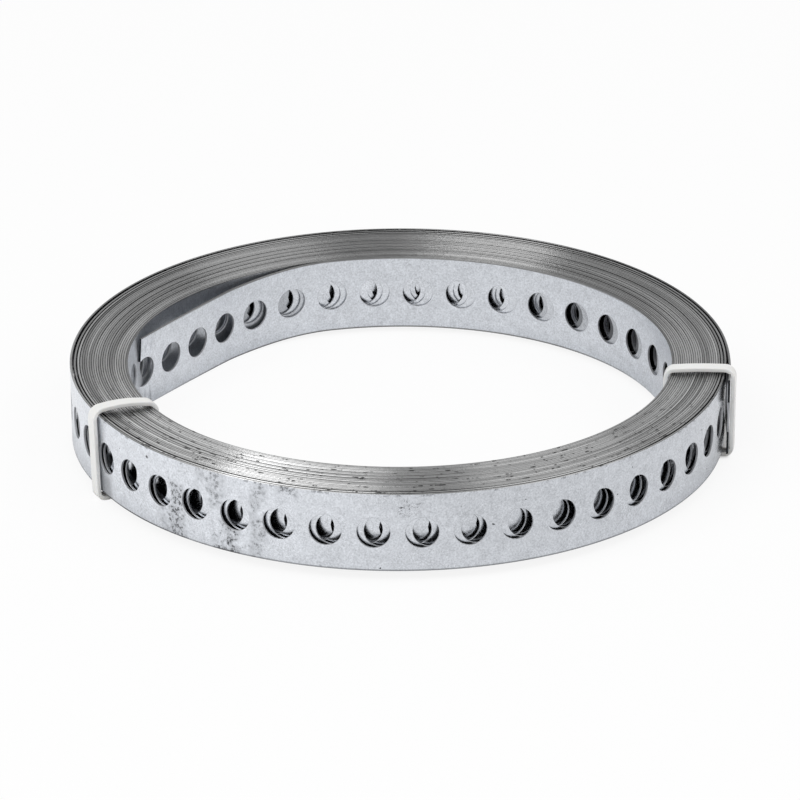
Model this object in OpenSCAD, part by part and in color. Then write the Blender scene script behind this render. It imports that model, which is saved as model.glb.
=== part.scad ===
// Coil of perforated steel strap held by two nylon ties. Millimetres, Z up, floor at z = 0.

/* [Strap] */
// Width of the flat strap
strap_width = 17; // [14:0.5:22]
// Thickness of the flat strap
strap_thickness = 0.5; // [0.4:0.05:0.5]
// Diameter of each punched hole
hole_diameter = 6.8; // [4:0.1:7.5]
// Distance from hole to hole along the strap
hole_pitch = 9.8; // [9:0.1:12]

/* [Coil] */
// Inside radius of the innermost turn
bore_radius = 57; // [53:0.1:62]
// Number of turns in the coil
turns = 25; // [18:1:28]
// Growth in radius from one turn to the next
turn_pitch = 0.56; // [0.55:0.01:0.65]
// How far the outer turns stand above the inner turns
dish = 0.6; // [0:0.05:0.8]
// How far single turns slide up or down
stagger = 0.12; // [0:0.01:0.2]
// Depth of the slit that shows between two turns
slit_depth = 0.8; // [0.5:0.05:2]

/* [Free inner end] */
// Plan angle where the inner end leaves the coil
tail_angle = 115; // [105:1:125]
// Angle that the inner end bends through
tail_bend = 33; // [30:0.5:36]
// Inside radius of that bend
tail_bend_radius = 22.7; // [20.5:0.1:23.8]
// Straight length after the bend
tail_length = 41; // [31:0.5:41]
// Distance from the cut end to the centre of the cut hole
tail_inset = 0.9; // [0:0.1:1.8]
// How far the inner end slides down against its turn
tail_drop = 0.1; // [0.05:0.05:0.2]

/* [Outer end] */
// Plan angle of the outer cut end
outer_end_angle = -12; // [-16:0.5:-10]
// Angle over which the outer end rises off the turn below
outer_end_sweep = 44; // [30:1:60]
// Step at the outer cut end
outer_end_step = 0.56; // [0.4:0.02:0.64]
// How far the outer end slides up against the turn below
outer_end_slide = 0.1; // [0.05:0.05:0.2]

/* [Ties] */
// Width of a tie
tie_width = 2.8; // [2:0.1:3.6]
// Thickness of a tie
tie_thickness = 0.95; // [0.8:0.05:1.2]
// Air between a tie and the flat sides of the coil
tie_slack = 0.2; // [0.15:0.05:0.3]
// Inside radius of a tie's bends
tie_bend_radius = 0.85; // [0.6:0.05:0.9]
// Plan angle of the left tie
left_tie_angle = 207.5; // [196:0.5:212]
// Plan angle of the right tie
right_tie_angle = -9; // [-9:0.5:-4]
// Width of a tie's head
head_width = 4.4; // [3.8:0.1:5]
// Length of a tie's head, up the wall
head_length = 4.6; // [4:0.1:5.6]
// Height of a tie's head, off the wall
head_height = 3; // [2.6:0.1:3.6]
// Height of the middle of a head above the floor
head_z = 5.8; // [4.5:0.1:7]
// Corner radius of a tie's head
head_round = 0.7; // [0.4:0.1:1.5]
// Length of the tie's trimmed point, past the head
point_length = 0.8; // [0.5:0.1:2]

/* [Hidden] */
$fn = 64;
// Turn-to-turn step of the angle that the turns' slide follows
slide_step = 137.5;
outer_radius = bore_radius + turns * turn_pitch;
slit = turn_pitch - strap_thickness;
// The coil stands on the lower runs of the two ties
coil_z = tie_thickness + tie_slack;
inner_mid_z = coil_z + strap_width / 2;
outer_mid_z = inner_mid_z + rise(turns - 1);
// Angle from hole to hole on the two walls
outer_step = hole_pitch / outer_radius * 180 / PI;
inner_step = hole_pitch / bore_radius * 180 / PI;
outer_holes = floor(360 / outer_step);
// The bend of the inner end is an arc tangent to the bore
bend_arc = tail_bend_radius * tail_bend * PI / 180;
tail_holes = floor((tail_length + bend_arc - tail_inset) / hole_pitch) + 1;
// Distance along the strap from the start of the bend to the first wall hole
wall_start = tail_inset + tail_holes * hole_pitch - tail_length - bend_arc;
// The inner end hides the wall behind it, which has no holes
tail_shade = 2 * acos((bore_radius - tail_bend_radius) * cos(tail_bend) / bore_radius
    + tail_bend_radius / bore_radius);
inner_holes = floor((360 - tail_bend - tail_shade / 2) / inner_step);
// Both ends start half a slit inside the turn that they leave
seat = slit / 2;
// A hole's tool starts this far off the inner face, and ends this far off the outer one
inner_run_in = 0.4;
outer_run_out = 3;
// The sector that keeps the inner end opens this far past the bend
sector_margin = 80;
// The outer end is an arc with a larger radius than the outside
sweep_length = outer_radius * outer_end_sweep * PI / 180;
end_radius = 1 / (1 / outer_radius - 2 * (outer_end_step + seat) / (sweep_length * sweep_length));
end_start = outer_end_angle + outer_end_sweep;
// The ties pass over the highest turn and the outer end
tie_top = coil_z + strap_width + max([for (i = [0 : turns - 1]) rise(i)]) + outer_end_slide + tie_slack;

// Height of turn i above the innermost turn
function rise(i) = dish * i / (turns - 1) + stagger * sin(slide_step * i);

// Height of the outer end above the coil's outside at plan angle a
function lift(a) = a >= end_start ? 0
    : max(0, (outer_end_step + seat) * pow((end_start - a) / outer_end_sweep, 2) - seat);

// Half section of the wound coil: every turn is a bar, and slits part the bars at both ends
function turn_r(i) = bore_radius + i * turn_pitch;
function top_points() = [
    for (i = [0 : turns - 1], k = [0 : 3])
        k == 0 ? [turn_r(i), coil_z + strap_width + rise(i)]
        : k == 1 ? [turn_r(i) + turn_pitch - (i < turns - 1 ? slit : 0), coil_z + strap_width + rise(i)]
        : k == 2 ? [turn_r(i) + turn_pitch - (i < turns - 1 ? slit : 0), coil_z + strap_width - slit_depth]
        : [turn_r(i) + turn_pitch, coil_z + strap_width - slit_depth]
];
function bottom_points() = [
    for (j = [0 : turns - 1], k = [0 : 3])
        let (i = turns - 1 - j)
        k == 0 ? [turn_r(i) + turn_pitch, coil_z + dish + slit_depth]
        : k == 1 ? [turn_r(i) + turn_pitch - (i < turns - 1 ? slit : 0), coil_z + dish + slit_depth]
        : k == 2 ? [turn_r(i) + turn_pitch - (i < turns - 1 ? slit : 0), coil_z + rise(i)]
        : [turn_r(i), coil_z + rise(i)]
];

module wound_turns() {
    rotate_extrude($fn = 180)
        polygon(concat(top_points(), bottom_points()));
}

// Moves what it is given into the frame of the inner end: bend centre at the origin
module tail_frame() {
    rotate([0, 0, tail_angle])
        translate([bore_radius + seat - tail_bend_radius, 0, coil_z - tail_drop])
            children();
}

// Everything inside a curve that turns at radius r and then runs straight
module bend_side(r) {
    circle(r = r);
    rotate(tail_bend)
        square([r, tail_length]);
}

// Plan of the inner end: an arc, then a straight run
module inner_end_plan() {
    reach = 2 * (tail_bend_radius + tail_length);
    sector = tail_bend + sector_margin;
    intersection() {
        difference() {
            bend_side(tail_bend_radius + strap_thickness);
            bend_side(tail_bend_radius);
        }
        polygon([[0, 0], [reach, 0], [reach, reach], [reach * cos(sector), reach * sin(sector)]]);
    }
}

module inner_end() {
    tail_frame()
        linear_extrude(strap_width)
            inner_end_plan();
}

module outer_end() {
    rotate([0, 0, end_start])
        translate([outer_radius - seat - end_radius, 0, coil_z + rise(turns - 1) + outer_end_slide])
            rotate([0, 0, -outer_end_sweep])
                rotate_extrude(angle = outer_end_sweep, $fn = 180)
                    translate([end_radius - 2 * strap_thickness, 0])
                        square([2 * strap_thickness, strap_width]);
}

// One hole, cut inward from the face at radius r
module outer_hole(a, r) {
    rotate([0, 0, a])
        translate([r - turn_pitch, 0, outer_mid_z])
            rotate([0, 90, 0])
                cylinder(d = hole_diameter, h = turn_pitch + outer_run_out);
}

// One hole, cut outward from the face at distance r from the local axis
module inner_hole(r, z) {
    translate([r - inner_run_in, 0, z])
        rotate([0, 90, 0])
            cylinder(d = hole_diameter, h = turn_pitch + inner_run_in);
}

module tail_hole(s) {
    tail_frame()
        if (s < tail_length)
            rotate([0, 0, tail_bend])
                translate([0, tail_length - s, 0])
                    inner_hole(tail_bend_radius, strap_width / 2);
        else
            rotate([0, 0, tail_bend - (s - tail_length) / tail_bend_radius * 180 / PI])
                inner_hole(tail_bend_radius, strap_width / 2);
}

// One length of strap: the wound turns and both cut ends
module strap() {
    color([0.74, 0.76, 0.79])
        difference() {
            union() {
                wound_turns();
                inner_end();
                outer_end();
            }
            for (k = [0 : outer_holes])
                let (a = outer_end_angle + k * outer_step)
                    outer_hole(a, outer_radius + lift(a));
            for (k = [0 : inner_holes - 1])
                rotate([0, 0, tail_angle - wall_start / bore_radius * 180 / PI - k * inner_step])
                    inner_hole(bore_radius, inner_mid_z);
            for (k = [0 : tail_holes - 1])
                tail_hole(tail_inset + k * hole_pitch);
        }
}

// Rectangle from [x0, y0] to [x1, y1] with round corners
module round_rect(x0, y0, x1, y1, r) {
    translate([x0 + r, y0])
        square([x1 - x0 - 2 * r, y1 - y0]);
    translate([x0, y0 + r])
        square([x1 - x0, y1 - y0 - 2 * r]);
    for (x = [x0 + r, x1 - r], y = [y0 + r, y1 - r])
        translate([x, y])
            circle(r = r);
}

// A tie round the coil's section, with its head on the inner wall
module tie(a, r_outer) {
    r0 = bore_radius - tie_slack;
    r1 = r_outer + tie_slack;
    color([0.92, 0.92, 0.9])
        rotate([0, 0, a]) {
            rotate([90, 0, 0])
                linear_extrude(tie_width, center = true)
                    difference() {
                        round_rect(r0 - tie_thickness, 0, r1 + tie_thickness, tie_top + tie_thickness,
                            tie_bend_radius + tie_thickness);
                        round_rect(r0, tie_thickness, r1, tie_top, tie_bend_radius);
                    }
            translate([r0 - head_height, 0, head_z])
                rotate([90, 0, 90])
                    linear_extrude(head_height)
                        round_rect(-head_width / 2, -head_length / 2,
                            head_width / 2, head_length / 2, head_round);
            translate([r0 - head_height - point_length, -tie_width / 2, head_z - tie_thickness / 2])
                cube([point_length + head_height, tie_width, tie_thickness]);
        }
}

module tie_left() {
    tie(left_tie_angle, outer_radius);
}

module tie_right() {
    tie(right_tie_angle, outer_radius + lift(right_tie_angle));
}

strap();
tie_left();
tie_right();
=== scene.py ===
# %% [markdown]
# A coil of perforated steel strap lies flat, held by two white nylon ties.
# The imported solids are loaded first. They fix the frame, the sizes and the place of every piece,
# so all that follows is written in the same frame, with Z up and the floor at zero.

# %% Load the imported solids
import bpy
import math
import numpy as np
from mathutils import Matrix, Vector


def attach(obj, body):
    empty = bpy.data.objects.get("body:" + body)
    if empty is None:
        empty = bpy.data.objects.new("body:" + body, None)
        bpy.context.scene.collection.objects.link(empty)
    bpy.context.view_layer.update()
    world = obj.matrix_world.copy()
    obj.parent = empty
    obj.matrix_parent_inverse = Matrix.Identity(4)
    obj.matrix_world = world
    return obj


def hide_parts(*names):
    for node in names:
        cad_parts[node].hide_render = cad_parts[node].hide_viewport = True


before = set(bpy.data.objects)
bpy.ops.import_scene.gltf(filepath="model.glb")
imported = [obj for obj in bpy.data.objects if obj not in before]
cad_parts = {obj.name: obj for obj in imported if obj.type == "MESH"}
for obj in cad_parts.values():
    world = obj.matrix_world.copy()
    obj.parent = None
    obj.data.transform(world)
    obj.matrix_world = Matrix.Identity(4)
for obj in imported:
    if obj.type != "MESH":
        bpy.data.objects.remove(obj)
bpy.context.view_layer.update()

MM = 0.001

# %% [markdown]
# The strap is one long band, wound from its outer cut end inwards. It could be made as 25 rings,
# but a real coil is one spiral, and only a spiral puts the holes of each turn where they belong
# behind the holes of the turn before. So the centreline comes first: the radius falls from an
# outer curve to an inner curve, both slightly oval because the ties squeeze the left and right.
# The first turns lie looser than the rest, the outer end springs off, and the ties pinch the wall.

# %% Sizes of the strap and the law of its winding
WIDTH, THICK, HOLE_R, PITCH = 17.0, 0.47, 3.4, 9.784
OUTER_R, INNER_R, TURNS = 71.0, 57.13, 24.327
START = math.radians(-12.6)
LEFT_TIE, RIGHT_TIE = math.radians(207.5), math.radians(-9)
TIGHT, LOOSE, LOOSE_AT, LOOSE_OVER = 0.51, 0.378, 1.052, 1.64
SPRING, SPRING_TURNS = 0.9, 0.05
PINCH, PINCH_TURNS, TIE_REACH = 0.34, 1.3, 0.22


def outer_curve(angle):
    """Mean radius of the outermost turn: a circle, squeezed at the sides, moved to front and left."""
    return OUTER_R - 0.65 * np.cos(2 * angle) - 0.45 * np.sin(angle) - 0.23 * np.cos(angle)


def inner_curve(angle):
    """Mean radius of the innermost turn: a circle that is wider from left to right."""
    return INNER_R + 0.85 * np.cos(2 * angle)


def bump_at(angle, middle, reach):
    """1 at the middle angle, falling as a bell curve to both sides; whole turns don't count."""
    apart = np.angle(np.exp(1j * (angle - middle)))
    return np.exp(-((apart / reach) ** 2))


turn = np.linspace(0, TURNS, 120001)
gap = TIGHT + LOOSE * np.exp(-(((turn - LOOSE_AT) / LOOSE_OVER) ** 2))
fallen = np.concatenate([[0], np.cumsum((gap[1:] + gap[:-1]) / 2 * np.diff(turn))])
share = 1 - fallen / fallen[-1]
angle = START + 2 * math.pi * turn
spring = SPRING * np.clip(1 - turn / SPRING_TURNS, 0, 1) ** 2
near_ties = bump_at(angle, LEFT_TIE, TIE_REACH) + bump_at(angle, RIGHT_TIE, TIE_REACH)
pinch = PINCH * np.exp(-turn / PINCH_TURNS) * near_ties
radius = inner_curve(angle) + (outer_curve(angle) - inner_curve(angle)) * share + spring - pinch
coil_xy = np.stack([radius * np.cos(angle), radius * np.sin(angle)], 1)
print("turn gaps", np.round(gap[::24000], 3), "radius", np.round(radius[[0, -1]], 2))

# %% [markdown]
# The inner end leaves the wall at the back in a tighter bend and runs nearly straight across the
# eye, till it touches the wall at the left. A bend is a turn of the heading, so the heading is
# written down along the strap and summed up to points, which keeps the run smooth where the spiral
# ends.

# %% The free inner end
BEND, BEND_R, RUN, RUN_R = math.radians(41.5), 41.6, 31.0, 740.0
step = coil_xy[-1] - coil_xy[-60]
heading_end = math.atan2(step[1], step[0])
along_end = np.linspace(0, BEND_R * BEND + RUN, 2400)
past_bend = np.clip(along_end - BEND_R * BEND, 0, None)
heading = heading_end + np.clip(along_end / BEND_R, 0, BEND) + past_bend / RUN_R
middle = (heading[1:] + heading[:-1]) / 2
strides = np.stack([np.cos(middle), np.sin(middle)], 1) * np.diff(along_end)[:, None]
end_xy = coil_xy[-1] + np.cumsum(strides, 0)
path_xy = np.concatenate([coil_xy, end_xy])
path_s = np.concatenate([[0], np.cumsum(np.linalg.norm(np.diff(path_xy, axis=0), axis=1))])
LENGTH = path_s[-1]
end_radius = float(np.hypot(*path_xy[-1]))
print("strap length", round(LENGTH / 1000, 3), "m, end radius", round(end_radius, 2))

# %% [markdown]
# No coil is wound quite level. Single turns slide up or down a little, least at the back, and the
# whole coil is dished, so its outer turns stand higher. The free end sags to the floor and leans
# into the eye. A seeded list of slides, one for each third of a turn, is smoothed along the strap;
# it makes the fine light and dark lines on top of the coil.

# %% Height of the strap along its length
LOW_MID, DISH, END_MID = 9.6, 0.98, WIDTH / 2 + 0.03
SLIDE_TURN, SLIDE_THIRD, LEVEL_BACK = 0.1, 0.03, 0.75
LEAN, SAG_OVER = 0.075, 25


def smooth(x):
    """0 below 0, 1 above 1 and an S-shaped rise between."""
    x = np.clip(x, 0, 1)
    return x ** 2 * (3 - 2 * x)


rng = np.random.default_rng(17)
knots = np.arange(0, TURNS + 2, 1 / 3)
slides = np.interp(np.floor(knots), np.arange(28), rng.uniform(-SLIDE_TURN, SLIDE_TURN, 28))
slides += rng.uniform(-SLIDE_THIRD, SLIDE_THIRD, len(knots))
slide = np.interp(turn, knots, slides) * (1 - LEVEL_BACK * bump_at(angle, math.pi / 2, 0.9))
mid_z = LOW_MID + DISH * share + slide * np.clip(turn / 0.4, 0, 1)
sag = (END_MID - mid_z[-1]) * smooth(along_end[1:] / SAG_OVER)
path_z = np.concatenate([mid_z, mid_z[-1] + sag])
path_lean = np.concatenate([0 * mid_z, LEAN * (along_end[1:] / along_end[-1]) ** 1.5])
tangent = np.gradient(path_xy, path_s, axis=0)
tangent /= np.linalg.norm(tangent, axis=1)[:, None]
path_n = np.stack([tangent[:, 1], -tangent[:, 0]], 1)
path_turn = np.concatenate([turn, TURNS + 0.02 * np.arange(1, len(end_xy) + 1) / len(end_xy)])


def on_strap(s, h, n):
    """Point at length s, height h over the middle line, n out from the middle sheet; s, h ride along."""
    rows = (path_xy[:, 0], path_xy[:, 1], path_z, path_n[:, 0], path_n[:, 1], path_lean)
    x, y, z, nx, ny, lean = [np.interp(s, path_s, row) for row in rows]
    out = n - lean * (h + WIDTH / 2)
    return np.stack([x + out * nx, y + out * ny, z + h, s + 0 * h, h + 0 * s], -1)


print("mid height", round(path_z.min(), 2), round(path_z.max(), 2))

# %% [markdown]
# Holes sit at one pitch along the whole strap, and both ends are cut through a hole: the outer end
# close to the hole's middle, the inner end a little past it. What is left over is spread through
# the hidden middle of the coil. The turns behind the inner wall are a little looser, so their holes
# slip sideways and show as crescents in the holes of the wall. The slip is counted in holes from
# the inner end, and the hidden turns take it back before the outer wall.

# %% Places of the holes
FIRST, LAST_CUT = 0.18, 1.7
SLIP_FROM, SLIP_OVER, SLIP_BY = [35, 55], [10, 25], [2.9, -1.0]
count = int(round((LENGTH - LAST_CUT - FIRST) / PITCH))
number = np.arange(count + 1)
ease = smooth(number / count)
spare = LENGTH - LAST_CUT - FIRST - PITCH * count
slip = smooth((count - number[:, None] - SLIP_FROM) / SLIP_OVER) @ SLIP_BY
holes = FIRST + PITCH * number + spare * ease + slip - sum(SLIP_BY) * (1 - ease)
joins = (holes[1:] + holes[:-1]) / 2
print(count + 1, "holes, ends", round(holes[0], 2), "and", round(LENGTH - holes[-1], 2), "from a middle")

# %% [markdown]
# Around each hole lies one cell of the strap. A cell is a grid: its columns go round the hole, from
# the hole's circle out to the cell's rectangle, and its rows go over the outer face, through the
# hole and back along the inner face. One grid is worked out for all cells at once, as one array.
# Edges get a small chamfer, because a sharp edge of sheared steel still catches a line of light.

# %% Grid of a cell
OUTER_FACE, RIM, BORE, INNER_FACE, SHOULDER_FACE, CROWN, CUT = range(7)
FINE_KINDS = [OUTER_FACE, RIM, BORE, RIM, INNER_FACE]
PLAIN_KINDS = [OUTER_FACE, BORE, INNER_FACE]
EDGE_KINDS = [SHOULDER_FACE, CROWN, SHOULDER_FACE]
CHAMFER, SHOULDER = 0.05, 0.08


def cell_frame(columns):
    """Unit circle and unit square points at the same columns, with the square's corners on columns."""
    turn_part = np.arange(columns) / columns
    phi = 2 * math.pi * turn_part - math.pi / 4
    side = turn_part * 4
    k, f = np.floor(side).astype(int), 2 * (side - np.floor(side)) - 1
    one = 0 * f + 1
    sides = [np.stack(pair, 1) for pair in ((one, f), (-f, one), (-one, -f), (f, -one))]
    square = np.select([(k == i)[:, None] for i in range(3)], sides[:3], sides[3])
    return np.stack([np.cos(phi), np.sin(phi)], 1), square


def cell_rows(fine):
    """Rows from outer rectangle to inner rectangle: (blend to the rectangle, hole radius, offset n)."""
    half, inside = THICK / 2, THICK / 2 - CHAMFER
    if fine:
        return [(1, HOLE_R, half), (0, HOLE_R + CHAMFER, half), (0, HOLE_R, inside),
                (0, HOLE_R, -inside), (0, HOLE_R + CHAMFER, -half), (1, HOLE_R, -half)]
    return [(1, HOLE_R, half), (0, HOLE_R, half), (0, HOLE_R, -half), (1, HOLE_R, -half)]


def edge_rows():
    """Rows over a sheared edge, from the outer face to the inner face: (height, offset n)."""
    half, inside, top = THICK / 2, THICK / 2 - SHOULDER, WIDTH / 2
    return [(top - SHOULDER, half), (top, inside), (top, -inside), (top - SHOULDER, -half)]


print("cell columns", len(cell_frame(24)[0]), "rows", len(cell_rows(True)))

# %% [markdown]
# The same grid serves three uses: whole cells with many columns where the holes are seen, whole
# cells with few columns deep in the coil, and the two cells at the cut ends, which stop at a line
# through the hole. Those two use only the columns on the kept side of that line, and a small plate
# closes the cut above and below the hole.

# %% Whole cells


def strip_faces(rows, columns, closed, flip):
    """Four-cornered faces between neighbouring rows and columns of one grid."""
    steps = columns if closed else columns - 1
    q, m = np.meshgrid(np.arange(rows - 1), np.arange(steps), indexing="ij")
    here, beside = q * columns + m, q * columns + (m + 1) % columns
    quad = np.stack([here, beside, beside + columns, here + columns], -1).reshape(-1, 4)
    return quad[:, ::-1] if flip else quad


def edge_part(s, sign, flip):
    """The sheared edge on top (sign 1) or below (sign -1), at one row of lengths s for each cell."""
    rim = np.stack([on_strap(s, sign * h, n) for h, n in edge_rows()], 1)
    columns = s.shape[1]
    strip = strip_faces(4, columns, False, flip)
    return rim.reshape(len(s), -1, 5), strip, np.repeat(EDGE_KINDS, columns - 1)


def whole_cells(picked, columns, fine):
    """Points, faces and kinds of whole cells: circle plus blend times (rectangle minus circle)."""
    circle, square = cell_frame(columns)
    lo, hi = joins[picked - 1] - holes[picked], joins[picked] - holes[picked]
    reach = np.where(square[None, :, 0] > 0, hi[:, None], -lo[:, None]) * square[None, :, 0]
    tall = (WIDTH / 2 - SHOULDER) * square[:, 1]
    centre = holes[picked][:, None]
    sheets = []
    for blend, hole, n in cell_rows(fine):
        a = blend * reach + (1 - blend) * hole * circle[None, :, 0]
        h = blend * tall + (1 - blend) * hole * circle[:, 1]
        sheets.append(on_strap(centre + a, h[None, :] + 0 * a, n))
    faces = strip_faces(len(sheets), columns, True, False)
    kinds = np.repeat(FINE_KINDS if fine else PLAIN_KINDS, columns)
    parts = [(np.stack(sheets, 1).reshape(len(picked), -1, 5), faces, kinds)]
    for sign in (1, -1):
        on = np.where(np.abs(square[:, 1] * sign - 1) < 1e-9)[0]
        on = on[np.argsort(-sign * square[on, 0])]
        parts.append(edge_part(centre + reach[:, on], sign, True))
    return parts


FINE_COLUMNS, PLAIN_COLUMNS = 24, 16
SEEN_OUTSIDE, SEEN_INSIDE = 3.1, 2.3
inner_cells = np.arange(1, count)
turn_of_hole = np.interp(holes, path_s, path_turn)[inner_cells]
seen = (turn_of_hole < SEEN_OUTSIDE) | (turn_of_hole > TURNS - SEEN_INSIDE)
cells = whole_cells(inner_cells[seen], FINE_COLUMNS, True)
cells += whole_cells(inner_cells[~seen], PLAIN_COLUMNS, False)
print("fine cells", int(seen.sum()), "plain cells", int((~seen).sum()))

# %% Cells at the cut ends
END_COLUMNS, EDGE_COLUMNS, PLATE_COLUMNS = 25, 7, 4


def end_cell(index, cut_at, sign):
    """The cell at a cut end: columns run from the cut line round the kept side, back to the cut line."""
    limit = math.acos(cut_at / HOLE_R)
    phi = np.linspace(limit, 2 * math.pi - limit, END_COLUMNS)
    circle = np.stack([sign * np.cos(phi), np.sin(phi)], 1)
    back = abs(joins[0] - holes[0]) if index == 0 else abs(holes[-1] - joins[-1])
    side, corners = np.linspace(0, 1, END_COLUMNS), [0, 0.375, 0.625, 1]
    tall = WIDTH / 2 - SHOULDER
    a = np.interp(side, corners, [cut_at, -back, -back, cut_at]) * sign
    h = np.interp(side, corners, [tall, tall, -tall, -tall])
    sheets = [on_strap(holes[index] + blend * a + (1 - blend) * hole * circle[:, 0],
                       blend * h + (1 - blend) * hole * circle[:, 1], n)
              for blend, hole, n in cell_rows(True)]
    faces = strip_faces(len(sheets), END_COLUMNS, False, sign < 0)
    kinds = np.repeat(FINE_KINDS, END_COLUMNS - 1)
    parts = [(np.stack(sheets).reshape(1, -1, 5), faces, kinds)]
    edge_s = (holes[index] + np.linspace(-back, cut_at, EDGE_COLUMNS) * sign)[None]
    cut_s = np.full(PLATE_COLUMNS, holes[index] + sign * cut_at)
    rise = np.linspace(math.sqrt(HOLE_R ** 2 - cut_at ** 2), WIDTH / 2, PLATE_COLUMNS)
    for up in (1, -1):
        parts.append(edge_part(edge_s, up, (up > 0) == (sign < 0)))
        lid = np.stack([on_strap(cut_s, up * rise, n) for n in (THICK / 2, -THICK / 2)])
        plate = strip_faces(2, PLATE_COLUMNS, False, (up > 0) != (sign > 0))
        parts.append((lid.reshape(1, -1, 5), plate, np.full(len(plate), CUT)))
    return parts


cells += end_cell(0, FIRST, -1) + end_cell(count, LAST_CUT, 1)
print("grids", len(cells))

# %% [markdown]
# All cells become one mesh, because the strap is one piece of steel. Points that neighbours share
# are merged, so the light runs over the joints unseen. Each face remembers whether it is a sheared
# edge or a rolled face, and each point its place along, across and in which turn, for the finish.

# %% One mesh from all cells


def mesh_piece(name, points, faces, sharp):
    """A mesh object from points in millimetres and faces, smooth up to an angle."""
    mesh = bpy.data.meshes.new(name)
    mesh.from_pydata((points * MM).tolist(), [], faces.tolist())
    mesh.update()
    mesh.shade_smooth()
    mesh.set_sharp_from_angle(angle=math.radians(sharp))
    piece = bpy.data.objects.new(name, mesh)
    bpy.context.scene.collection.objects.link(piece)
    return piece


def welded(points, faces):
    """Points that agree to a micrometre become one; faces are numbered anew."""
    key = np.round(points[:, :3] * 1000).astype(np.int64)
    _, first, where = np.unique(key, axis=0, return_index=True, return_inverse=True)
    return points[first], where.reshape(-1)[faces]


stack, quads, kinds, base = [], [], [], 0
for grid, faces, kind in cells:
    many, each = grid.shape[:2]
    quads.append((faces[None] + base + each * np.arange(many)[:, None, None]).reshape(-1, 4))
    kinds.append(np.tile(kind, many))
    stack.append(grid.reshape(-1, 5))
    base += many * each
kinds = np.concatenate(kinds)
points, quads = welded(np.concatenate(stack), np.concatenate(quads))
strap = mesh_piece("strap_wound", points[:, :3], quads, 32)
print("strap", len(points), "points", 2 * len(quads), "triangles")

# %% [markdown]
# Little light gets in between the turns. A few bounces in a render would leave these faces brighter
# than they are, so their shade is painted: a mark tells the finish how dark each face is painted, fully
# where two turns lie back to back, partly behind the inner wall to the left and right, and a little in
# the pocket behind the free end. The cut faces at both ends take the full painted shade too.

# %% Marks on the strap for its finish and its painted shade
DIM_DEEP, DIM_NEXT, DIM_LEFT, DIM_POCKET = 0.9, 0.35, 0.6, 0.22
POCKET_TURN, POCKET_FADE = 0.79, 0.05


def write_mark(piece, name, kind, domain, values):
    """Stores numbers or vectors for each point or face of the piece."""
    mark = piece.data.attributes.new(name, kind, domain)
    field = "vector" if kind == "FLOAT_VECTOR" else "value"
    mark.data.foreach_set(field, np.asarray(values, np.float32).ravel())


turn_at = np.interp(points[:, 3], path_s, path_turn)
face_turn, face_x = turn_at[quads].mean(1), points[quads, 0].mean(1)
facing_in, facing_out, inner_half = kinds == INNER_FACE, kinds == OUTER_FACE, face_turn > TURNS / 2
hidden = (facing_in & ~inner_half) | (facing_out & inner_half & (face_turn < TURNS))
behind = facing_in & inner_half & (face_turn < TURNS - 1)
to_sides = np.clip((face_x - 27) / 16, 0, 1) + DIM_LEFT * np.clip((-16 - face_x) / 14, 0, 1)
dim = behind * np.where(face_turn < TURNS - 2, DIM_DEEP, DIM_NEXT) * to_sides
in_pocket = np.clip((TURNS - POCKET_TURN - face_turn) / POCKET_FADE, 0, 1)
pocket = DIM_POCKET * in_pocket * (facing_in & (face_turn > TURNS - 1))
wind_mark = np.stack([points[:, 3] * MM, turn_at, points[:, 4] * MM], 1)
write_mark(strap, "wind", "FLOAT_VECTOR", "POINT", wind_mark)
write_mark(strap, "crown", "FLOAT", "FACE", kinds == CROWN)
write_mark(strap, "shoulder", "FLOAT", "FACE", kinds == SHOULDER_FACE)
write_mark(strap, "bore", "FLOAT", "FACE", (kinds == BORE) | (kinds == RIM))
# painted shade: faces between turns, behind the inner wall, in the pocket, and the cut faces are marked
# to be painted dark
write_mark(strap, "painted_cover_shade", "FLOAT", "FACE", np.maximum(hidden | (kinds == CUT), dim + pocket))
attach(strap, "root")
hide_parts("strap")
print("faces by kind", np.bincount(kinds).tolist(), "hidden", int(hidden.sum()))

# %% [markdown]
# Each tie is a strip of nylon bent round the coil's section: up the outer wall, over the top, down
# the inner wall and back underneath. Its path is a rectangle with rounded corners in an upright
# plane, and a small rounded section is carried along it, as an extruder would do.

# %% Path and section of a tie
TIE_W, TIE_T = 2.8, 0.95


def rounded_path(corners, bends, each=14):
    """Closed path through corners, each replaced by an arc of its own bend radius."""
    c, bends = np.asarray(corners, float), np.asarray(bends, float)
    before, after = np.roll(c, 1, 0) - c, np.roll(c, -1, 0) - c
    before /= np.linalg.norm(before, axis=1)[:, None]
    after /= np.linalg.norm(after, axis=1)[:, None]
    half = np.arccos(np.sum(before * after, 1)) / 2
    inward = (before + after) / np.linalg.norm(before + after, axis=1)[:, None]
    heart = c + inward * (bends / np.sin(half))[:, None]
    cut = (bends / np.tan(half))[:, None]
    t0, t1 = c + before * cut, c + after * cut
    f = np.linspace(0, 1, each)[None, :, None]
    a, b = (t0 - heart)[:, None], (t1 - heart)[:, None]
    sweep = (math.pi - 2 * half)[:, None, None]
    arcs = heart[:, None] + (a * np.sin((1 - f) * sweep) + b * np.sin(f * sweep)) / np.sin(sweep)
    part = np.linspace(0, 1, 20)[None, 1:-1, None]
    runs = t1[:, None] + (np.roll(t0, -1, 0) - t1)[:, None] * part
    return np.concatenate([arcs, runs], 1).reshape(-1, 2)


def strip_section(wide, thick, soft, each=5):
    """Rounded rectangle seen along the strip, (across, out) points in order."""
    f = np.linspace(0, math.pi / 2, each)
    arc = np.stack([np.cos(f), np.sin(f)], 1) * soft
    quarter = np.array([[0, -1], [1, 0]])
    spins = [np.linalg.matrix_power(quarter, k) for k in range(4)]
    places = np.array([[1, 1], [-1, 1], [-1, -1], [1, -1]]) * [wide / 2 - soft, thick / 2 - soft]
    return np.concatenate([arc @ spin.T + place for spin, place in zip(spins, places)])


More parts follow.
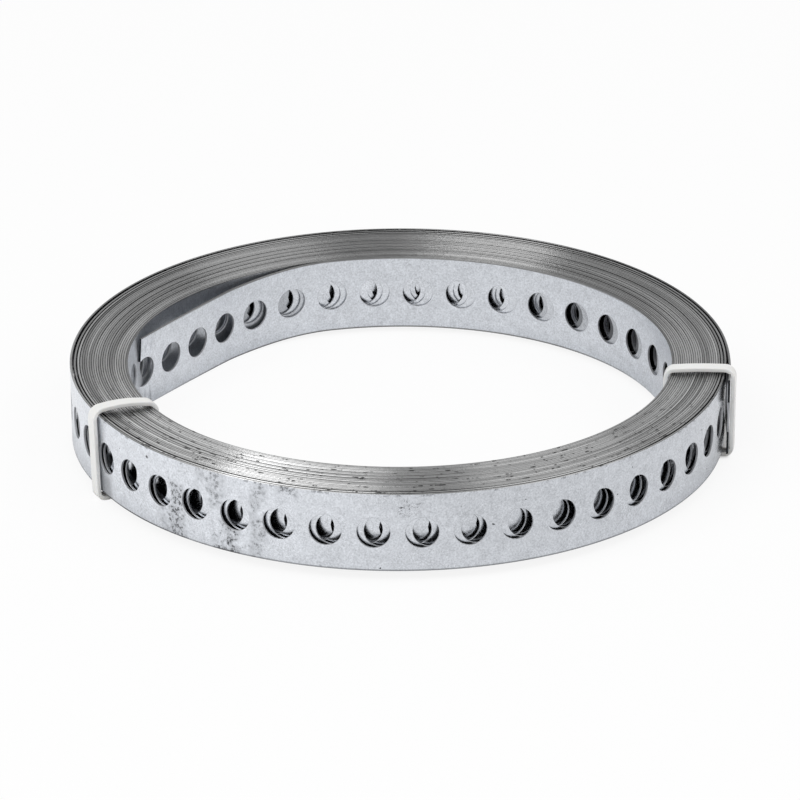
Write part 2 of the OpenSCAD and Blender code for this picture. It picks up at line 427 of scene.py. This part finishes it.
def wall_radii(a):
    """Inner and outer face of the wound wall at plan angle a, from the strap's own centreline."""
    passed = np.arange(26) + ((a - START) / (2 * math.pi)) % 1
    r = np.interp(passed[passed < TURNS], turn, radius)
    return r.min() - THICK / 2, r.max() + THICK / 2


def plan_axes(a):
    """Directions outwards and sideways in plan at angle a."""
    return np.array([math.cos(a), math.sin(a)]), np.array([-math.sin(a), math.cos(a)])


print("walls at the ties", [np.round(wall_radii(a), 2) for a in (LEFT_TIE, RIGHT_TIE)])

# %% [markdown]
# The two ties differ only in how they were drawn tight: how much slack they have at the inner and
# outer wall, how far the top run bows up, and how far the top leans to one side.

# %% Sweep a tie round the coil
LEFT_FIT = {"slack": (0.08, 0.28), "arch": 0.7, "skew": -1.4}
RIGHT_FIT = {"slack": (0.4, 0.15), "arch": 0.25, "skew": 0.3}
UNDER, OVER_INNER, OVER_OUTER, TOP_RUN = 0.02, 0.22, 0.2, 12


def tie_points(a, slack, arch, skew):
    """Section carried along the path; the top run bows up by a sine, and the tie's plane leans."""
    r0, r1 = wall_radii(a)
    r0, r1 = r0 - slack[0] - TIE_T / 2, r1 + slack[1] + TIE_T / 2
    low = TIE_T / 2 + UNDER
    top0 = LOW_MID + WIDTH / 2 + OVER_INNER + TIE_T / 2
    top1 = LOW_MID + DISH + WIDTH / 2 + OVER_OUTER + TIE_T / 2
    path = rounded_path([[r0, low], [r1, low], [r1, top1], [r0, top0]], [1.5, 1.5, 1.8, 1.7])
    part = np.clip((path[:, 0] - r0) / (r1 - r0), 0, 1)
    path[:, 1] += arch * np.sin(math.pi * part) * (path[:, 1] > TOP_RUN)
    ahead = np.roll(path, -1, 0) - np.roll(path, 1, 0)
    ahead /= np.linalg.norm(ahead, axis=1)[:, None]
    out = np.stack([ahead[:, 1], -ahead[:, 0]], 1)
    section = strip_section(TIE_W, TIE_T, 0.22)
    rz = path[:, None] + out[:, None] * section[None, :, 1:2]
    across = section[None, :, 0] + skew * (path[:, None, 1] - low) / (top1 - low)
    spoke, side = plan_axes(a)
    xy = rz[..., 0:1] * spoke + across[..., None] * side
    return np.concatenate([xy, rz[..., 1:2]], -1)


def ring_faces(rings, columns):
    """Faces of a grid closed both ways: the row after the last one is the first."""
    return strip_faces(rings + 1, columns, True, False) % (rings * columns)


loop = tie_points(LEFT_TIE, **LEFT_FIT)
print("tie grid", loop.shape, "height", round(loop[..., 2].max(), 2))

# %% [markdown]
# The head of a tie is a small moulded box with soft corners and a slot, through which the other end
# is drawn and cut off short. In the photo both heads are out of sight, so they sit low on the inner
# wall. The box is one grid: rings of a squarish oval that go up its side, over the face, into the
# slot and down to the slot's floor.

# %% Head and cut point of a tie
HEAD_Z = 5.8


def head_points(a, r_face):
    """Rings of a squarish oval, |x/a|^5 + |y/b|^5 = 1, ever further from the wall, then into the slot."""
    phi = np.linspace(0, 2 * math.pi, 48, endpoint=False)
    c, s = np.cos(phi), np.sin(phi)
    oval = np.stack([np.sign(c) * np.abs(c) ** 0.4, np.sign(s) * np.abs(s) ** 0.4], 1)
    wide = np.array([2.0, 2.2, 2.2, 2.12, 1.9, 1.55, 1.45, 1.42, 0.02])
    tall = np.array([2.1, 2.3, 2.3, 2.22, 2.0, 0.72, 0.64, 0.62, 0.02])
    off = np.array([0.0, 0.15, 2.55, 2.82, 3.0, 3.0, 2.9, 1.6, 1.6])
    across, up = oval[None, :, 0] * wide[:, None], HEAD_Z + oval[None, :, 1] * tall[:, None]
    spoke, side = plan_axes(a)
    xy = (r_face - off)[:, None, None] * spoke + across[..., None] * side
    return np.concatenate([xy, up[..., None]], -1)


def point_points(a, r_face):
    """The drawn end: the strip's section carried from inside the slot to a square cut."""
    section = strip_section(TIE_W, TIE_T, 0.2)
    off, size = np.array([1.2, 1.2, 3.75, 3.8, 3.8]), np.array([0.02, 1, 1, 0.94, 0.02])
    across, up = section[None, :, 0] * size[:, None], HEAD_Z + section[None, :, 1] * size[:, None]
    spoke, side = plan_axes(a)
    xy = (r_face - off)[:, None, None] * spoke + across[..., None] * side
    return np.concatenate([xy, up[..., None]], -1)


def open_tube(grid):
    """Points and faces of rings that are joined along but end in a small ring at both ends."""
    faces = strip_faces(grid.shape[0], grid.shape[1], True, True)
    return grid.reshape(-1, 3), np.roll(faces, 1, axis=1)


print("head rings", head_points(0.0, 56.8).shape)

# %% Both ties


def make_tie(name, node, a, fit):
    """Loop, head and cut point of one tie, joined to one mesh."""
    face = wall_radii(a)[0] - fit["slack"][0]
    loop = tie_points(a, **fit)
    parts = [(loop.reshape(-1, 3), ring_faces(*loop.shape[:2])),
             open_tube(head_points(a, face)), open_tube(point_points(a, face))]
    shift = np.cumsum([0] + [len(p) for p, _ in parts])
    all_points = np.concatenate([p for p, _ in parts])
    all_faces = np.concatenate([f + k for (_, f), k in zip(parts, shift)])
    piece = mesh_piece(name, all_points, all_faces, 50)
    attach(piece, "root")
    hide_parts(node)
    print(name, len(piece.data.vertices), "points")
    return piece


ties = [make_tie("tie_left_strip", "tie_left", LEFT_TIE, LEFT_FIT),
        make_tie("tie_right_strip", "tie_right", RIGHT_TIE, RIGHT_FIT)]

# %% [markdown]
# Finishes are built from nodes. Writing them as sums and products reads better than a list of nodes
# and links, so one small class stands for a socket: its operators add Math nodes, and one method
# adds any other node.

# %% Sums and products of sockets


class Wire:
    """A socket that can be added, multiplied and compared; numbers stay numbers."""

    def __init__(self, tree, socket=None):
        self.tree, self.socket = tree, socket

    def node(self, kind, settings, sockets, out=0):
        """One node: its settings first, then the values or links of its sockets."""
        made = self.tree.nodes.new(kind)
        for key, value in settings.items():
            setattr(made, key, value)
        for key, value in sockets.items():
            if isinstance(value, Wire):
                self.tree.links.new(value.socket, made.inputs[key])
            else:
                made.inputs[key].default_value = value
        return Wire(self.tree, made.outputs[out])

    def math(self, operation, *values):
        """One Math node with these values or wires."""
        return self.node("ShaderNodeMath", {"operation": operation}, dict(enumerate(values)))

    def __add__(self, other): return self.math("ADD", self, other)
    __radd__ = __add__
    def __sub__(self, other): return self.math("SUBTRACT", self, other)
    def __rsub__(self, other): return self.math("SUBTRACT", other, self)
    def __mul__(self, other): return self.math("MULTIPLY", self, other)
    __rmul__ = __mul__

    def between(self, lo, hi):
        """0 below lo, 1 above hi, smooth between; lo above hi turns it round."""
        ends = {0: self, 1: lo, 2: hi, 3: 0.0, 4: 1.0}
        return self.node("ShaderNodeMapRange", {"interpolation_type": "SMOOTHSTEP"}, ends)

    def mix(self, a, b):
        """Colour a where this value is 0, colour b where it is 1."""
        return self.node("ShaderNodeMix", {"data_type": "RGBA"}, {0: self, 6: a, 7: b}, 2)


def parts_of(vector):
    """The x, y and z of a vector wire."""
    return [vector.node("ShaderNodeSeparateXYZ", {}, {0: vector}, i) for i in range(3)]


def colour(red, green, blue):
    """A colour from three wires."""
    return red.node("ShaderNodeCombineColor", {}, {0: red, 1: green, 2: blue})


def finish_of(name):
    """A new material, its empty wire and its surface node."""
    made = bpy.data.materials.new(name)
    made.use_nodes = True
    return made, Wire(made.node_tree), made.node_tree.nodes["Principled BSDF"]


def feed(wire, surface, key):
    """Links a wire to one input of the surface."""
    wire.tree.links.new(wire.socket, surface.inputs[key])


print("wires ready")

# %% [markdown]
# Zinc on steel is a bright grey metal with a faint spangle and a fine grain. It takes its tone from
# the white room, so the colour only has to say how much it gives back. The marks on the faces tell
# the rolled sides from the sheared edges, and the wind mark runs along the strap, so that a pattern
# can change from turn to turn.

# %% Grain of the zinc
zinc, w, zinc_surface = finish_of("galvanised_steel")
place = w.node("ShaderNodeTexCoord", {}, {}, 3)
xyz = parts_of(place)
along, turn_no, across = parts_of(w.node("ShaderNodeAttribute", {"attribute_name": "wind"}, {}, 1))
crown, shoulder, bore, painted_cover_shade = [w.node("ShaderNodeAttribute", {"attribute_name": name}, {}, 2)
                                  for name in ("crown", "shoulder", "bore", "painted_cover_shade")]


def noise(scale, detail=3.0, rough=0.55, at=None):
    """A cloudy pattern from 0 to 1, about 0.5 in the mean; scale is in waves per metre."""
    settings = {"Vector": at or place, "Scale": scale, "Detail": detail, "Roughness": rough}
    return w.node("ShaderNodeTexNoise", {}, settings, 0)


crystals = w.node("ShaderNodeTexVoronoi", {}, {"Vector": place, "Scale": 700.0}, 1)
spangle = w.node("ShaderNodeSeparateColor", {}, {0: crystals})
cloud, mottle, grain = noise(70.0), noise(520.0, 3.0, 0.6), noise(2600.0, 2.0, 0.7)
tone = 0.96 + 0.05 * spangle + 0.14 * (cloud - 0.5) + 0.35 * (mottle - 0.5) + 0.9 * (grain - 0.5)
print("zinc grain wired")

# %% [markdown]
# Dirt is not spread evenly. On the front left of the outer wall it lies in upright patches of fine
# black specks; elsewhere there are only single specks and a broken line under the top rim. A thin dark
# line at the foot of the outer wall is painted shadow where the wall meets the floor, darkest on the
# front left, and it goes in with the dirt. Each is a window, by angle or by height on the strap, times
# a noise. A patch is written as its middle and half width as angles, the heights where it starts and
# where it is full, and its strength.

# %% Dirt on the walls, and a painted shadow at the foot
PATCHES = [(-2.262, 0.042, 0.0045, 0.0020, 1.0), (-2.300, 0.050, -0.0010, -0.0040, 0.6),
           (-2.141, 0.065, -0.0010, 0.0020, 0.7), (-2.091, 0.060, -0.0005, -0.0030, 1.8),
           (-1.983, 0.038, -0.0200, -0.0100, 0.65), (-1.895, 0.045, 0.0040, 0.0070, 0.9)]
around = w.math("ARCTAN2", xyz[1], xyz[0])


def window(value, middle, half):
    """1 at the middle, falling smoothly to 0 at half to each side."""
    return w.math("ABSOLUTE", value - middle).between(half, half * 0.25)


fine = noise(1500.0, 4.0, 0.75).between(0.53, 0.63)
coarse = noise(210.0, 4.0, 0.6).between(0.38, 0.5)
specks = 0.14 + 0.86 * noise(1300.0, 4.0, 0.8).between(0.49, 0.6)
smear = sum(window(around, at, half) * across.between(start, full) * strength
            for at, half, start, full, strength in PATCHES)
speckle = window(around, -2.1, 0.45) * fine * noise(330.0, 3.0).between(0.54, 0.66) * 0.55
single = noise(560.0, 1.0, 0.4).between(0.775, 0.79)
scrape = window(around, -1.55, 0.05) * window(across, 0.0055, 0.0025) * fine
# painted shadow: a dark line along the foot of the outer wall, where it meets the floor
painted_foot_shadow = across.between(-0.0080, -0.0083) * (0.6 + 0.35 * window(around, -2.45, 0.16))
brim = across.between(0.0077, 0.0083) * noise(500.0, 3.0, 0.7).between(0.54, 0.62) * 0.5
smudge = window(around, -2.615, 0.055) * across.between(-0.001, -0.006) * 0.45
outside = turn_no.between(1.3, 1.05)
# real dirt and the foot's painted shadow together, on the outermost turn only
dirt_and_foot_shadow = outside * (smear * coarse * specks + speckle + single + scrape + painted_foot_shadow + brim + smudge)
dirt_and_foot_shadow = w.math("MINIMUM", dirt_and_foot_shadow, 0.92)
print("dirt wired")

# %% [markdown]
# The top of the coil shows the sheared edges of all turns. Their light and shade are painted: the crowns
# get a painted light tone and their shoulders a painted shade, which with the dark gaps gives the fine
# lines. The painted tone differs from turn to turn; it is brighter at the front left and dimmer at the
# rest of the front and at the back, the crowns are a little warmer than the walls, and dirt lies on them
# in dashes, most at the front.

# %% Painted light and shade on the sheared edges


def along_turns(per_metre, per_turn):
    """A point for a noise that runs along the strap and changes from turn to turn."""
    return w.node("ShaderNodeCombineXYZ", {}, {0: along * per_metre, 1: turn_no * per_turn, 2: 0.0})


single_turn = noise(1.0, 2.0, 0.6, along_turns(14.0, 1.9)).between(0.3, 0.7)
band = noise(1.0, 1.0, 0.5, along_turns(5.0, 0.43)).between(0.3, 0.7)
front, to_back = xyz[1].between(0.0, -0.055), xyz[1].between(0.0, 0.03)
front_left = window(xyz[0], -0.042, 0.03)
side_on = w.math("ABSOLUTE", xyz[0]).between(0.03, 0.062)
beside = side_on * (1.0 - 0.5 * xyz[1].between(0.015, 0.045))
line = single_turn * (0.3 + 0.7 * beside + 0.5 * front) + 0.35 * (1.0 - beside)
# painted light: the edges' tone is raised at the front left and lowered at the rest of the front and at
# the back
painted_front_light = 1.0 + front * (0.66 * front_left - 0.15) - 0.2 * to_back
dash = noise(1.0, 3.0, 0.7, along_turns(330.0, 2.7)).between(0.57, 0.65) * (0.12 + 0.7 * front)
painted_edge_tone_with_dirt = (0.14 + 0.10 * band + 0.30 * line) * painted_front_light * (1.0 - dash)
# painted light on the crowns and painted shade on the shoulders, both carrying the dirt dashes
painted_crown_light = colour(painted_edge_tone_with_dirt * 0.985, painted_edge_tone_with_dirt * 0.995, painted_edge_tone_with_dirt)
painted_shoulder_shade_tone = painted_edge_tone_with_dirt * (0.42 + 0.5 * (1.0 - beside))
painted_shoulder_shade = colour(painted_shoulder_shade_tone, painted_shoulder_shade_tone, painted_shoulder_shade_tone)
print("edge lines wired")

# %% [markdown]
# The layers now go over each other: clean zinc, dirt with the painted shadow at the foot, the painted
# shade of covered faces, the walls of the holes, a painted shade under the edges at the back, and last
# the sheared edges with their painted light and shade. Dirt and the foot's painted shadow are also
# rougher and less of a metal, and the hidden turns stay a little glossier than the open ones.

# %% Join the finish of the strap
faces = dirt_and_foot_shadow.mix(colour(tone * 0.66, tone * 0.684, tone * 0.725), (0.03, 0.031, 0.035, 1))
# painted shade: covered faces and the cut faces are painted near black
faces = painted_cover_shade.mix(faces, (0.03, 0.032, 0.036, 1))
faces = bore.mix(faces, (0.56, 0.57, 0.59, 1))
# painted shade: at the back, a thin band of the faces just under the edges takes the shoulders' painted
# shade
painted_rim_shade = w.math("ABSOLUTE", across).between(0.0080, 0.0083) * (1.0 - beside) * to_back
faces = w.math("MINIMUM", shoulder + painted_rim_shade, 1.0).mix(faces, painted_shoulder_shade)
feed(crown.mix(faces, painted_crown_light), zinc_surface, "Base Color")
deep = turn_no.between(0.95, 1.05) * turn_no.between(TURNS - 1.2, TURNS - 1.3)
inner_wall = turn_no.between(TURNS - 1.0, TURNS - 0.95)
rough = 0.22 - 0.08 * deep + 0.09 * inner_wall + 0.12 * cloud
feed(rough + 0.16 * crown + 0.3 * bore + 0.3 * dirt_and_foot_shadow, zinc_surface, "Roughness")
feed(1.0 - 0.7 * dirt_and_foot_shadow, zinc_surface, "Metallic")
relief = {"Strength": 0.15, "Distance": 0.0001, "Height": grain + 0.4 * spangle}
feed(w.node("ShaderNodeBump", {}, relief), zinc_surface, "Normal")
strap.data.materials.append(zinc)
print(zinc.name, len(zinc.node_tree.nodes), "nodes")

# %% [markdown]
# Nylon is milky: light goes a little way in. A white base with a touch of subsurface light, a soft
# gloss and a faint moulded ripple is enough for strips this small.

# %% Finish of the ties
nylon, w, nylon_surface = finish_of("nylon")
place = w.node("ShaderNodeTexCoord", {}, {}, 3)
haze = w.node("ShaderNodeTexNoise", {}, {"Vector": place, "Scale": 220.0, "Detail": 3.0}, 0)
scuff = w.node("ShaderNodeTexNoise", {}, {"Vector": place, "Scale": 900.0, "Detail": 2.0}, 0)
feed(haze.mix((0.80, 0.80, 0.785, 1), (0.86, 0.86, 0.845, 1)), nylon_surface, "Base Color")
feed(0.30 + 0.2 * scuff, nylon_surface, "Roughness")
ripple = {"Strength": 0.1, "Distance": 0.0001, "Height": haze + 0.3 * scuff}
feed(w.node("ShaderNodeBump", {}, ripple), nylon_surface, "Normal")
nylon_surface.inputs["Subsurface Weight"].default_value = 0.25
nylon_surface.inputs["Subsurface Radius"].default_value = (0.0012, 0.0011, 0.001)
for piece in ties:
    piece.data.materials.append(nylon)
print(nylon.name, len(nylon.node_tree.nodes), "nodes")

# %% [markdown]
# The strap mirrors what is around it, so the room matters as much as the finish. The floor is plain
# white to the camera. In the strap its glow is a painted reflection, brighter on the left than on the
# right, as the photo's walls show. A painted shadow takes the glow off the ring of floor under the
# coil, so there only the floor's rendered shade is mirrored and the gaps between the turns stay dark.
# A small painted shadow does the same for the camera under the strap's outer end, so the slit there
# stays dark.

# %% Floor


def ray_kinds(w):
    """1 for rays from the camera, for mirrored rays and for rays through clear matter."""
    names = ("Is Camera Ray", "Is Glossy Ray", "Is Transmission Ray")
    return [w.node("ShaderNodeLightPath", {}, {}, name) for name in names]


floor_mesh = bpy.data.meshes.new("floor")
floor_mesh.from_pydata([(-4, -4, 0), (4, -4, 0), (4, 4, 0), (-4, 4, 0)], [], [(0, 1, 2, 3)])
floor = bpy.data.objects.new("floor", floor_mesh)
bpy.context.scene.collection.objects.link(floor)
paper, w, paper_surface = finish_of("white_floor")
paper_surface.inputs["Base Color"].default_value = (0.9, 0.9, 0.9, 1)
paper_surface.inputs["Roughness"].default_value = 0.9
seen_ray, mirror_ray, clear_ray = ray_kinds(w)
floor_place = w.node("ShaderNodeTexCoord", {}, {}, 3)
floor_x, floor_y, _ = parts_of(floor_place)
spot = w.node("ShaderNodeVectorMath", {"operation": "LENGTH"}, {0: floor_place}, 1)
# painted shadow: the floor's glow is taken off the ring under the coil for mirrored rays
painted_ring_shadow = spot.between(0.048, 0.055) * spot.between(0.080, 0.072)
to_right = floor_x.between(-0.07, 0.04)
# painted reflection: outside the coil, the glow mirrored in the strap is brighter on the left than on the
# right
painted_mirror_light = 0.955 + spot.between(0.070, 0.076) * (0.165 - 0.29 * to_right)
painted_mirror_light = seen_ray + (1.0 - seen_ray) * painted_mirror_light
mirrored = w.math("MINIMUM", mirror_ray + clear_ray, 1.0) * (1.0 - 0.97 * painted_ring_shadow)
# painted shadow: the floor under the strap's outer end loses its glow for the camera
painted_slit_shadow = floor_x.between(0.0665, 0.068) * floor_y.between(-0.014, -0.011) * spot.between(0.0713, 0.0703)
straight = w.math("MINIMUM", seen_ray * (1.0 - 0.95 * painted_slit_shadow) + mirrored, 1.0)
glow = w.node("ShaderNodeEmission", {}, {"Color": colour(painted_mirror_light, painted_mirror_light, painted_mirror_light), "Strength": 1.0})
lit = Wire(paper.node_tree, paper_surface.outputs[0])
mixed = w.node("ShaderNodeMixShader", {}, {0: straight * 0.88, 1: lit, 2: glow})
paper.node_tree.links.new(mixed.socket, paper.node_tree.nodes["Material Output"].inputs[0])
floor_mesh.materials.append(paper)
print("floor", len(paper.node_tree.nodes), "nodes")

# %% [markdown]
# The background is white to the camera and to mirrored rays, apart from a grey ceiling that only
# the strap sees, and weaker as a light, so that the lamps still shape the coil.

# %% Room
room = bpy.data.worlds.new("white_room")
room.use_nodes = True
w = Wire(room.node_tree)
seen_ray, mirror_ray, clear_ray = ray_kinds(w)
straight = w.math("MINIMUM", seen_ray + mirror_ray + clear_ray, 1.0)
up = parts_of(w.node("ShaderNodeTexCoord", {}, {}, 0))[2]
ceiling = 0.65 * up.between(0.3, 0.8) * (1.0 - seen_ray)
sky = room.node_tree.nodes["Background"]
sky.inputs[0].default_value = (1, 1, 1, 1)
feed(0.55 * (1.0 - straight) + straight * (1.0 - ceiling), sky, 1)
bpy.context.scene.world = room
print("room ready")

# %% Lamps


def softbox(name, place, size, watts):
    """A square lamp that looks at the coil."""
    light = bpy.data.lights.new(name, "AREA")
    light.size, light.energy = size, watts
    lamp = bpy.data.objects.new(name, light)
    lamp.location = place
    lamp.rotation_euler = (-Vector(place)).to_track_quat("-Z", "Y").to_euler()
    bpy.context.scene.collection.objects.link(lamp)
    return lamp


lamps = [softbox("key_box", (-0.6, -0.5, 1.0), 0.9, 7.0),
         softbox("fill_box", (0.8, -0.2, 0.9), 0.9, 3.5)]
print([lamp.name for lamp in lamps])

# %% [markdown]
# The camera stands about a metre away and 24 degrees up, with a long lens. Its place was worked out
# from the coil's edges in the photo; the lens shift only lifts the coil to the photo's height.

# %% Camera
AIM, FAR, UP, ROLL = Vector((0, 0, 0.0106)), 0.9767, 0.4152, -0.0024
LENS_PX, SHIFT_PX, FRAME_PX, SENSOR = 4560.0, (-0.45, -11.59), 800, 36
back = Vector((0, -math.cos(UP), math.sin(UP)))
eye = bpy.data.cameras.new("photo_view")
eye.lens, eye.sensor_width = LENS_PX * SENSOR / FRAME_PX, SENSOR
eye.shift_x, eye.shift_y = SHIFT_PX[0] / FRAME_PX, SHIFT_PX[1] / FRAME_PX
camera = bpy.data.objects.new("photo_view", eye)
camera.location = AIM + back * FAR
turned = (-back).to_track_quat("-Z", "Y").to_matrix() @ Matrix.Rotation(ROLL, 3, "Z")
camera.rotation_euler = turned.to_euler()
bpy.context.scene.collection.objects.link(camera)
bpy.context.scene.camera = camera
bpy.context.scene.view_settings.view_transform = "Standard"
print("lens", round(eye.lens, 1), "mm")
